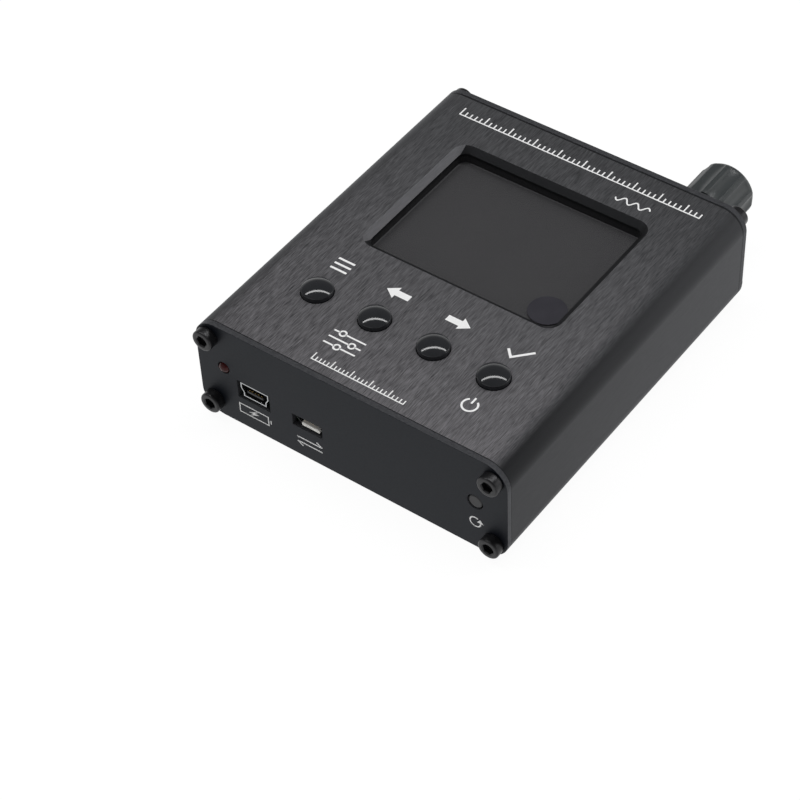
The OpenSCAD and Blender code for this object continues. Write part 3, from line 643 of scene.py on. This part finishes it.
def fluted_cap():
    radius = (cap_high.x - cap_low.x) / 2
    length = cap_high.y - cap_low.y
    bore = radius - CAP_WALL
    runout = length - CAP_SHOULDER
    rows = [(0, length - CAP_END), (bore, length - CAP_END), (bore, 0.3 * MM), (bore + 0.3 * MM, 0)]
    rows += [(radius - CAP_LIP, 0, 1), (radius - 0.1 * MM, 0.1 * MM, 1), (radius, CAP_LIP, 1)]
    rows += [(radius, runout * t, 1) for t in (0.25, 0.5, 0.75, 0.9)]
    # The flutes die away round the shoulder
    shoulder = arc((radius - CAP_SHOULDER, runout), CAP_SHOULDER, 0, 84, 12)
    for i, (r, y) in enumerate(shoulder):
        rows.append((r, y, max(0, 1 - (i + 2) / 9)))
    rows.append((0, length))
    mesh = turned(rows, CAP_FLUTES * 24, along_y(jack_axis.x, cap_low.y, jack_axis.z), fluted)
    smooth_by_angle(mesh, 24)
    piece("dust_cap_fluted", mesh, body_named("dust_cap"), "cap_plastic", stands_for=["dust_cap"])


fluted_cap()


# ---------------------------------------------------------------------------
# Geometry Nodes: the jack's thread, the screws and the printed scales
# ---------------------------------------------------------------------------


class Growth(Tree):
    """A Geometry Nodes tree with named inputs for its sizes."""

    def __init__(self, name, **sizes):
        group = bpy.data.node_groups.new(name, "GeometryNodeTree")
        super().__init__(group)
        for label in sizes:
            group.interface.new_socket(label, in_out="INPUT", socket_type="NodeSocketFloat")
        group.interface.new_socket("Geometry", in_out="OUTPUT", socket_type="NodeSocketGeometry")
        self.sizes = sizes
        self.entry = self.node("NodeGroupInput")

    def size(self, label):
        return Number(self, self.entry.outputs[label])

    def grown(self, shape, material):
        """The mesh that the tree makes, with its material set."""
        whole = self.add("GeometryNodeRealizeInstances", {0: shape})
        values = {"Geometry": whole, "Material": material}
        coated = self.add("GeometryNodeSetMaterial", values)
        leaving = self.node("NodeGroupOutput")
        self.put(leaving.inputs[0], coated)
        holder = bpy.data.objects.new("holder", bpy.data.meshes.new("holder"))
        bpy.context.scene.collection.objects.link(holder)
        modifier = holder.modifiers.new("growth", "NODES")
        modifier.node_group = self.owner
        for item in self.owner.interface.items_tree:
            if item.in_out == "INPUT":
                modifier[item.identifier] = float(self.sizes[item.name])
        mesh = applied(holder)
        bpy.data.objects.remove(holder)
        return mesh


def thread_ridge(radius, depth, pitch, length, place):
    """One helical ridge of a screw thread, about +Z from the place given."""
    turns = length / pitch
    g = Growth("thread_ridge", Radius=radius, Depth=depth, Turns=turns, Length=length)
    values = {"Resolution": 48, "Rotations": g.size("Turns"), "Start Radius": g.size("Radius")}
    values |= {"End Radius": g.size("Radius"), "Height": g.size("Length")}
    path = g.add("GeometryNodeCurveSpiral", values)
    upright = g.add("GeometryNodeSetCurveNormal", {"Curve": path}, mode="Z_UP")
    tooth = g.add("GeometryNodeCurvePrimitiveCircle", {"Resolution": 4, "Radius": g.size("Depth")})
    swept = {"Curve": upright, "Profile Curve": tooth, "Fill Caps": True}
    mesh = g.grown(g.add("GeometryNodeCurveToMesh", swept), finishes["jack_nickel"])
    mesh.transform(place)
    return mesh


JACK_NECK = 4.7 * MM
JACK_NECK_R = 6.35 * MM
JACK_THREAD_R = 5.53 * MM
JACK_BORE_R = 4.15 * MM
JACK_BORE = 11.9 * MM
JACK_CORE_R = 0.95 * MM
JACK_FLANGE = 2.0 * MM
JACK_FLANGE_R = 7.8 * MM
JACK_BODY_R = 4.2 * MM
JACK_FERRULE = 3.5 * MM
JACK_FERRULE_R = 2.2 * MM
THREAD_PITCH = 25.4 / 28 * MM
THREAD_DEPTH = 0.38 * MM


def jack_barrel():
    """The jack's turned body, with its thread cut down to the root."""
    low, high = thread_low, thread_high
    neck_end = rear_high.y + JACK_NECK
    root = JACK_THREAD_R - THREAD_DEPTH
    edge = 0.25 * MM
    profile = [(JACK_CORE_R, high.y - JACK_BORE), (JACK_BORE_R, high.y - JACK_BORE)]
    profile += [(JACK_BORE_R, high.y - edge), (JACK_BORE_R + edge, high.y)]
    profile += [(root - edge, high.y), (root, high.y - edge), (root, neck_end)]
    profile += [(JACK_NECK_R - edge, neck_end), (JACK_NECK_R, neck_end - edge)]
    profile += [(JACK_NECK_R, rear_low.y), (JACK_FLANGE_R, rear_low.y)]
    profile += [(JACK_FLANGE_R, rear_low.y - JACK_FLANGE), (JACK_BODY_R, rear_low.y - JACK_FLANGE)]
    profile += [(JACK_BODY_R, low.y + JACK_FERRULE), (JACK_FERRULE_R, low.y + JACK_FERRULE)]
    profile += [(JACK_FERRULE_R, low.y), (JACK_CORE_R, low.y), profile[0]]
    mesh = turned(profile, 96, along_y(jack_axis.x, 0, jack_axis.z))
    smooth_by_angle(mesh, 30)
    piece("jack_barrel", mesh, HOUSING, "jack_nickel", stands_for=["rf_jack_body"])
    start = neck_end + THREAD_PITCH * 0.7
    length = high.y - start - THREAD_PITCH * 0.7
    lie = along_y(jack_axis.x, start, jack_axis.z)
    ridge = thread_ridge(root, THREAD_DEPTH, THREAD_PITCH, length, lie)
    smooth_by_angle(ridge, 30)
    piece("jack_thread", ridge, HOUSING, "jack_nickel")


jack_barrel()


# Socket-head screws: one turned screw, set at the four corners of a plate
SCREW_HEAD_R = 2.6 * MM
SCREW_HEAD = 2.3 * MM
SCREW_SHANK_R = 1.45 * MM
SCREW_SOCKET_R = 1.25 * MM
SCREW_SOCKET = 1.3 * MM
SCREW_EDGE = 0.42 * MM


def hexagonal(angle, radius, share):
    """Between a circle and a hexagon whose flats are the radius away."""
    flat = radius / math.cos((angle + math.pi / 6) % (math.pi / 3) - math.pi / 6)
    return radius + (flat - radius) * share


def screw_set(node, turn):
    """A plate's four screws; turn faces their heads outwards."""
    low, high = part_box(node)
    tip = high.y - low.y
    profile = [(0, SCREW_SOCKET + 0.35 * MM), (SCREW_SOCKET_R, SCREW_SOCKET, 1)]
    profile += [(SCREW_SOCKET_R, 0.22 * MM, 1), (SCREW_SOCKET_R + 0.32 * MM, 0, 0)]
    profile += arc((SCREW_HEAD_R - SCREW_EDGE, SCREW_EDGE), SCREW_EDGE, -90, 0, 5)
    profile += [(SCREW_HEAD_R, SCREW_HEAD - 0.1 * MM), (SCREW_HEAD_R - 0.1 * MM, SCREW_HEAD)]
    profile += [(SCREW_SHANK_R, SCREW_HEAD), (SCREW_SHANK_R, tip - 0.3 * MM)]
    profile += [(SCREW_SHANK_R - 0.3 * MM, tip), (0, tip)]
    mesh = turned(profile, 48, Matrix.Identity(4), hexagonal)
    smooth_by_angle(mesh, 34)
    screw = bpy.data.objects.new("one_screw", mesh)
    bpy.context.scene.collection.objects.link(screw)
    across = high.x - low.x - 2 * SCREW_HEAD_R
    rise = high.z - low.z - 2 * SCREW_HEAD_R
    g = Growth(node + "_set", Across=across, Rise=rise)
    grid = {"Size X": g.size("Across"), "Size Y": g.size("Rise"), "Vertices X": 2, "Vertices Y": 2}
    corners = g.add("GeometryNodeMeshGrid", grid)
    spin = g.add("FunctionNodeRandomValue", {2: 0.0, 3: 1.0, "Seed": 5}, out=1, data_type="FLOAT")
    about = g.add("ShaderNodeCombineXYZ", {2: spin})
    one = g.add("GeometryNodeObjectInfo", {"Object": screw}, out="Geometry")
    values = {"Points": corners, "Instance": one, "Rotation": about}
    made = g.grown(g.add("GeometryNodeInstanceOnPoints", values), finishes["black_steel"])
    bpy.data.objects.remove(screw)
    head_y = low.y if turn > 0 else high.y
    centre = ((low.x + high.x) / 2, head_y, (low.z + high.z) / 2)
    made.transform(Matrix.Translation(centre) @ Matrix.Rotation(turn * -math.pi / 2, 4, "X"))
    piece(node + "_turned", made, HOUSING, "black_steel", stands_for=[node])


screw_set("front_screws", 1)
screw_set("rear_screws", -1)


PRINT_THICK = 0.03 * MM


def tick_scale(name, span, pitch, short, tall, width, place, every=5):
    """A printed scale: a row of ticks on a line, with each fifth tick taller."""
    count = round(span / pitch) + 1
    g = Growth(name, Span=span, Count=count, Short=short, Tall=tall, Width=width, Every=every)
    half = g.size("Span") / 2
    starts = g.add("ShaderNodeCombineXYZ", {0: half * -1})
    ends = g.add("ShaderNodeCombineXYZ", {0: half})
    line = g.add("GeometryNodeCurvePrimitiveLine", {"Start": starts, "End": ends})
    points = g.add("GeometryNodeCurveToPoints", {"Curve": line, "Count": g.size("Count")}, mode="COUNT")
    number = g.add("GeometryNodeInputIndex")
    major = number.maths("MODULO", g.size("Every")) < 0.5
    height = g.size("Short") + major * (g.size("Tall") - g.size("Short"))
    size = g.add("ShaderNodeCombineXYZ", {0: g.size("Width"), 1: height, 2: PRINT_THICK})
    cube = g.add("GeometryNodeMeshCube", {"Size": (1, 1, 1)})
    up = g.add("ShaderNodeCombineXYZ", {1: 0.5})
    raised = g.add("GeometryNodeTransform", {"Geometry": cube, "Translation": up})
    values = {"Points": points, "Instance": raised, "Scale": size}
    ticks = g.add("GeometryNodeInstanceOnPoints", values)
    long = g.size("Span") + g.size("Width")
    bar_size = g.add("ShaderNodeCombineXYZ", {0: long, 1: g.size("Width"), 2: PRINT_THICK})
    bar = g.add("GeometryNodeMeshCube", {"Size": bar_size})
    down = g.add("ShaderNodeCombineXYZ", {1: g.size("Width") * -0.5})
    placed = g.add("GeometryNodeTransform", {"Geometry": bar, "Translation": down})
    both = g.node("GeometryNodeJoinGeometry")
    for part in (ticks, placed):
        g.put(both.inputs[0], part)
    mesh = g.grown(Number(g, both.outputs[0]), finishes["print_white"])
    mesh.transform(place)
    return piece(name, mesh, HOUSING, "print_white")


# ---------------------------------------------------------------------------
# The sockets' tongues, which come up near the mouths
# ---------------------------------------------------------------------------


def tongue(name, node, low_corner, high_corner, reach, slot):
    """A tongue standing on its block; the corners are (x, z) from the block's lower left."""
    low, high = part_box(node)
    work = bmesh.new()
    start = low.y - reach * MM
    blade_low = Vector((low.x + low_corner[0] * MM, start, low.z + low_corner[1] * MM))
    blade_high = Vector((low.x + high_corner[0] * MM, high.y - 1 * MM, low.z + high_corner[1] * MM))
    block_low = Vector((low.x, high.y - 1.2 * MM, low.z))
    for a, b in ((blade_low, blade_high), (block_low, high)):
        place = Matrix.Translation((a + b) / 2) @ Matrix.Diagonal((*(b - a), 1))
        made = bmesh.ops.create_cube(work, size=1, matrix=place)
        edges = {e for v in made["verts"] for e in v.link_edges}
        bmesh.ops.bevel(work, geom=list(edges), offset=0.08 * MM, segments=2, affect="EDGES")
    mesh = bpy.data.meshes.new(name)
    work.to_mesh(mesh)
    work.free()
    smooth_by_angle(mesh, 40)
    piece(name, mesh, HOUSING, slot, stands_for=[node])


tongue("data_tongue", "micro_usb_tongue", (1.6, 0.0), (6.4, 0.95), 0.6, "white_plastic")
tongue("charging_tongue", "mini_usb_tongue", (1.3, 1.0), (5.8, 1.7), 0.0, "dark_plastic")


# ---------------------------------------------------------------------------
# Printed marks
# ---------------------------------------------------------------------------


def on_top(x, back):
    """Lays a mark on the case's top, at a distance back from the front plate's face."""
    return Matrix.Translation((x * MM, front_face + back * MM, case_top + PRINT_THICK / 2))


def on_front(x, z):
    """Stands a mark on the front plate's face."""
    turn = Matrix.Rotation(math.pi / 2, 4, "X")
    return Matrix.Translation((x * MM, front_face - PRINT_THICK / 2, z * MM)) @ turn


def ribbon(line, width):
    """The quads along a drawn line; a line that ends where it starts is closed."""
    spots = [Vector(spot) for spot in line]
    closed = (spots[0] - spots[-1]).length < 0.001
    sides = []
    for i, spot in enumerate(spots):
        before = spots[i - 1] if i else spots[-2] if closed else spot
        after = spots[i + 1] if i + 1 < len(spots) else spots[1] if closed else spot
        out = (after - spot).normalized()
        ahead = (out + (spot - before).normalized()).normalized()
        # A corner's mitre is as wide as the line, up to a limit
        square = max(0.35, ahead.dot(out)) if out.length else 1
        across = Vector((-ahead.y, ahead.x)) * width / 2 / square
        sides.append((spot - across, spot + across))
    return [(a, c, d, b) for (a, b), (c, d) in zip(sides, sides[1:])]


def mark(name, place, lines=(), width=0.42, shapes=()):
    """A printed mark, in millimetres: drawn lines of one width, and filled shapes."""
    work = bmesh.new()
    faces = [quad for line in lines for quad in ribbon(line, width)]
    for shape in [*faces, *shapes]:
        work.faces.new([work.verts.new((x * MM, y * MM, 0)) for x, y in shape])
    bmesh.ops.remove_doubles(work, verts=work.verts, dist=0.001 * MM)
    bmesh.ops.recalc_face_normals(work, faces=work.faces)
    bmesh.ops.solidify(work, geom=work.faces[:], thickness=PRINT_THICK)
    bmesh.ops.recalc_face_normals(work, faces=work.faces)
    work.transform(place)
    mesh = bpy.data.meshes.new(name)
    work.to_mesh(mesh)
    work.free()
    return piece(name, mesh, HOUSING, "print_white")


tick_scale("title_scale", 64.8 * MM, 1.35 * MM, 1.3 * MM, 2.4 * MM, 0.32 * MM, on_top(0.5, 86.9))
tick_scale("sweep_scale", 24.0 * MM, 1.0 * MM, 1.0 * MM, 1.9 * MM, 0.26 * MM, on_top(0, 4.2))
wave = [(x / 4, 0.8 * math.sin(x / 4 * 2 * math.pi / 3)) for x in range(-18, 19)]
mark("wave_mark", on_top(18.2, 82.6), [wave], 0.36)

# Beside the keys: menu, back, settings, next, accept and standby
menu_bars = [[(-2.2, y), (2.2, y)] for y in (-1.6, 0, 1.6)]
mark("menu_mark", on_top(-23.6, 30.5), menu_bars, 0.55)
arrow = [(-3.1, 0), (-0.5, 1.85), (-0.5, 0.85), (3.0, 0.85)]
arrow += [(x, -y) for x, y in reversed(arrow[1:])]
mark("back_arrow", on_top(-8.2, 30.2), shapes=[arrow])
mark("next_arrow", on_top(7.7, 30.2), shapes=[[(-x, y) for x, y in arrow]])
mark("accept_mark", on_top(23.6, 29.7), [[(-2.7, 0.1), (-0.9, -1.8), (2.8, 2.1)]], 0.6)
sliders = []
for x, y in ((-1.9, 2.0), (1.9, 0), (-0.6, -2.0)):
    sliders += [[(-4.2, y), (x - 0.75, y)], [(x + 0.75, y), (4.2, y)], arc((x, y), 0.75, 0, 360, 32)]
mark("settings_mark", on_top(-8.9, 11.7), sliders, 0.42)
standby = [arc((0, 0), 1.75, 125, 415, 32), [(0, 0.5), (0, 2.35)]]
mark("standby_mark", on_top(23.6, 11.7), standby, 0.46)

# On the front plate: charging, data and reset
battery = [(-4.4, 0), (-4.4, -1.3), (3.6, -1.3), (3.6, 1.3), (-4.4, 1.3), (-4.4, 0)]
mark("charging_mark", on_front(-26, 5.4), [battery, [(4.3, -0.55), (4.3, 0.55)]], 0.3)
bolt = [(0.9, 1.0), (-1.7, -0.2), (-0.5, -0.2), (-1.3, -1.0), (1.2, 0.2), (0.0, 0.2)]
mark("charging_bolt", on_front(-26.2, 5.4), shapes=[bolt])
onward = [[(-3.4, 0.7), (3.2, 0.7)], [(1.9, 1.7), (3.4, 0.7)]]
mark("data_mark", on_front(-11.0, 5.0), onward + [[(-x, -y) for x, y in line] for line in onward], 0.36)
head = [(0.4, 0.15), (2.1, 0.15), (1.25, 1.25)]
mark("reset_mark", on_front(32.8, 7.9), [arc((0, 0), 1.35, 60, 370, 24)], 0.34, shapes=[head])


# ---------------------------------------------------------------------------
# The film's pull tab, stuck down over the glass's front right corner
# ---------------------------------------------------------------------------

TAB_RADIUS = 4.4 * MM
TAB_THICK = 0.04 * MM
TAB_X = 19.3 * MM
TAB_BACK = 46.9 * MM

spot = Matrix.Translation((TAB_X, front_face + TAB_BACK, film_high.z))
tab = turned([(0, 0), (TAB_RADIUS, 0), (TAB_RADIUS, TAB_THICK), (0, TAB_THICK)], 64, spot)
piece("film_tab", tab, HOUSING, "film_tinted", material=tab_film())


# ---------------------------------------------------------------------------
# Stage, lights and camera
# ---------------------------------------------------------------------------


def stage_floor():
    work = bmesh.new()
    bmesh.ops.create_grid(work, x_segments=1, y_segments=1, size=3.0)
    mesh = bpy.data.meshes.new("floor")
    work.to_mesh(mesh)
    work.free()
    floor = bpy.data.objects.new("floor", mesh)
    bpy.context.scene.collection.objects.link(floor)
    f = Finish("pale_floor")
    fine = f.noise(30, detail=2)
    f.set(Base_Color=f.blend(fine, (0.80, 0.80, 0.80), (0.82, 0.82, 0.82)), Roughness=0.9)
    shown = f.seen_ray()
    glow = f.add("ShaderNodeEmission", {"Color": (1, 1, 1, 1), "Strength": 1.05})
    mix = f.add("ShaderNodeMixShader", {0: shown * 0.9, 1: f.shader.outputs[0], 2: glow})
    f.put(f.owner.nodes["Material Output"].inputs["Surface"], mix)
    coat(floor, f.material)


def lamp(name, place, aim, power, size, size_y):
    data = bpy.data.lights.new(name, "AREA")
    data.shape = "RECTANGLE"
    data.size = size
    data.size_y = size_y
    data.energy = power
    obj = bpy.data.objects.new(name, data)
    obj.location = place
    obj.rotation_euler = (Vector(aim) - Vector(place)).to_track_quat("-Z", "Y").to_euler()
    bpy.context.scene.collection.objects.link(obj)
    return obj


# The strip's angle above the floor in degrees, its distance and size in metres, and its power
STRIP_HEIGHT = 80
STRIP_AWAY = 1.0
STRIP_LONG = 2.0
STRIP_WIDE = 0.13
STRIP_WATTS = 8.4
STRIP_AIM = Vector((0, 0, 0.02))


def strip_light():
    """A long tube above and behind the object: the line of light across each key."""
    across = Vector((0.807, 0.590, 0))
    behind = Vector((-0.590, 0.807, 0))
    height = math.radians(STRIP_HEIGHT)
    place = (behind * math.cos(height) + Vector((0, 0, 1)) * math.sin(height)) * STRIP_AWAY
    strip = lamp("strip", place, STRIP_AIM, STRIP_WATTS, STRIP_LONG, STRIP_WIDE)
    ahead = (STRIP_AIM - place).normalized()
    turn = Matrix((across, across.cross(ahead), -ahead)).transposed().to_4x4()
    strip.matrix_world = Matrix.Translation(place) @ turn


# The room's light: on the object, and straight up as mirrored by it; the horizon is white
SKY = 0.35
ROOM_TOP = 0.2
ROOM_FADE = 3


def studio_world():
    world = bpy.data.worlds.new("studio")
    world.use_nodes = True
    bpy.context.scene.world = world
    t = Tree(world.node_tree)
    backdrop = t.owner.nodes["Background"]
    backdrop.inputs["Color"].default_value = (1, 1, 1, 1)
    aim = t.add("ShaderNodeTexCoord", out="Generated")
    height = Number(t, t.node("ShaderNodeSeparateXYZ", {0: aim}).outputs[2])
    mirrored = (1 - height * ROOM_FADE).clamped() * (1 - ROOM_TOP) + ROOM_TOP
    t.put(backdrop.inputs["Strength"], t.seen_ray() * (mirrored - SKY) + SKY)


def photographer():
    place = Vector((0.2317, front_face - 0.2737, 0.3998))
    ahead = Vector((-0.4256, 0.5356, -0.7294)).normalized()
    right = Vector((0.8068, 0.5896, -0.0378))
    right = (right - ahead * right.dot(ahead)).normalized()
    up = right.cross(ahead)
    data = bpy.data.cameras.new("camera")
    data.lens = 111.6
    data.sensor_width = 36
    data.shift_y = 0.028
    camera = bpy.data.objects.new("camera", data)
    turn = Matrix((right, up, -ahead)).transposed().to_4x4()
    camera.matrix_world = Matrix.Translation(place) @ turn
    bpy.context.scene.collection.objects.link(camera)
    bpy.context.scene.camera = camera


stage_floor()
studio_world()
strip_light()
lamp("front_fill", (-0.2, -0.9, 0.5), (0, 0, 0.01), 0.5, 0.9, 0.5)
lamp("side_fill", (1.1, 0.9, 0.5), (0, 0, 0.01), 2.6, 0.8, 0.6)
photographer()
bpy.context.scene.view_settings.view_transform = "Standard"
